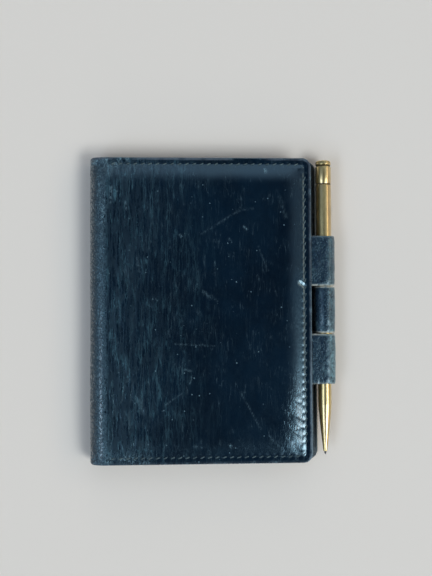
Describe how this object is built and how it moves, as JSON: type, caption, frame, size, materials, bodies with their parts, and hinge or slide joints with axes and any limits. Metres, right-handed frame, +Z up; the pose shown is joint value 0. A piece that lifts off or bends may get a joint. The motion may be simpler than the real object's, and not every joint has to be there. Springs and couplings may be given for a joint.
{
  "type": "agenda holder",
  "caption": "Soft leather pocket agenda cover with a rounded spine and a paged refill, locked at the fore-edge by a slim twist pencil pushed through leather loops.",
  "frame": {"origin": "on the table under the middle of the closed holder's box, loops and pencil included", "axes": "+X from the spine to the fore-edge with the pencil, +Y to the head, where the pencil's cap is, +Z up out of the front cover"},
  "size_m": [0.1012, 0.125, 0.0132],
  "materials": {
    "cover_leather": "glazed, worn",
    "loop_leather": "glazed, scuffed",
    "pocket_leather": "smooth",
    "lining_leather": "matt grained",
    "cover_board": "raw",
    "refill_card": "matt",
    "refill_paper": "uncoated",
    "sewing_thread": "twisted",
    "gilt_brass": "worn gilt",
    "mechanism_steel": "drawn",
    "graphite": "graphite"
  },
  "bodies": {
    "back_cover": {"back_leather": "cover_leather", "back_board": "cover_board", "back_lining": "lining_leather", "back_pocket": "pocket_leather", "middle_pencil_loop": "loop_leather", "refill_back_card": "refill_card", "rear_pages": "refill_paper", "refill_thread": "sewing_thread"},
    "spine_strip_1": {"spine_leather_1": "cover_leather", "spine_lining_1": "lining_leather"},
    "spine_strip_2": {"spine_leather_2": "cover_leather", "spine_lining_2": "lining_leather"},
    "front_cover": {"front_leather": "cover_leather", "front_board": "cover_board", "front_lining": "lining_leather", "front_pocket": "pocket_leather", "top_pencil_loop": "loop_leather", "bottom_pencil_loop": "loop_leather", "refill_front_card": "refill_card"},
    "front_leaves": {"front_pages": "refill_paper"},
    "pencil": {"pencil_barrel": "gilt_brass", "pencil_nose_cone": "gilt_brass", "pencil_guide_tube": "mechanism_steel"},
    "twist_cap": {"pencil_twist_cap": "gilt_brass", "pencil_end_disc": "gilt_brass", "pencil_spiral_sleeve": "mechanism_steel"},
    "lead_feed": {"pencil_lead_carrier": "mechanism_steel", "pencil_lead": "graphite"}
  },
  "joints": [
    {"name": "book_open", "type": "hinge", "parent": "back_cover", "child": "front_leaves", "pos_m": [-0.042, 0, 0.0066], "axis": [0, -1, 0], "range_deg": [0, 180]},
    {"name": "back_crease", "type": "hinge", "parent": "back_cover", "child": "spine_strip_1", "pos_m": [-0.044, 0, 0], "axis": [0, -1, 0], "range_deg": [0, 45]},
    {"name": "spine_fold", "type": "hinge", "parent": "spine_strip_1", "child": "spine_strip_2", "pos_m": [-0.0506, 0, 0.0066], "axis": [0, -1, 0], "range_deg": [0, 90]},
    {"name": "front_crease", "type": "hinge", "parent": "spine_strip_2", "child": "front_cover", "pos_m": [-0.044, 0, 0.0132], "axis": [0, -1, 0], "range_deg": [0, 45]},
    {"name": "pencil_slide", "type": "slide", "parent": "back_cover", "child": "pencil", "axis": [0, 1, 0], "range_m": [0, 0.095]},
    {"name": "cap_twist", "type": "hinge", "parent": "pencil", "child": "twist_cap", "pos_m": [0.0462, 0.0525, 0.0066], "axis": [0, 1, 0], "range_deg": [-54, 216]},
    {"name": "lead_slide", "type": "slide", "parent": "pencil", "child": "lead_feed", "axis": [0, -1, 0], "range_m": [-0.0012, 0.0048]}
  ],
  "couplings": [
    {"joint": "back_crease", "follows": "book_open", "ratio": 0.25},
    {"joint": "spine_fold", "follows": "book_open", "ratio": 0.5},
    {"joint": "front_crease", "follows": "book_open", "ratio": 0.25},
    {"joint": "cap_twist", "follows": "lead_slide", "rad_per_m": 785.4}
  ]
}
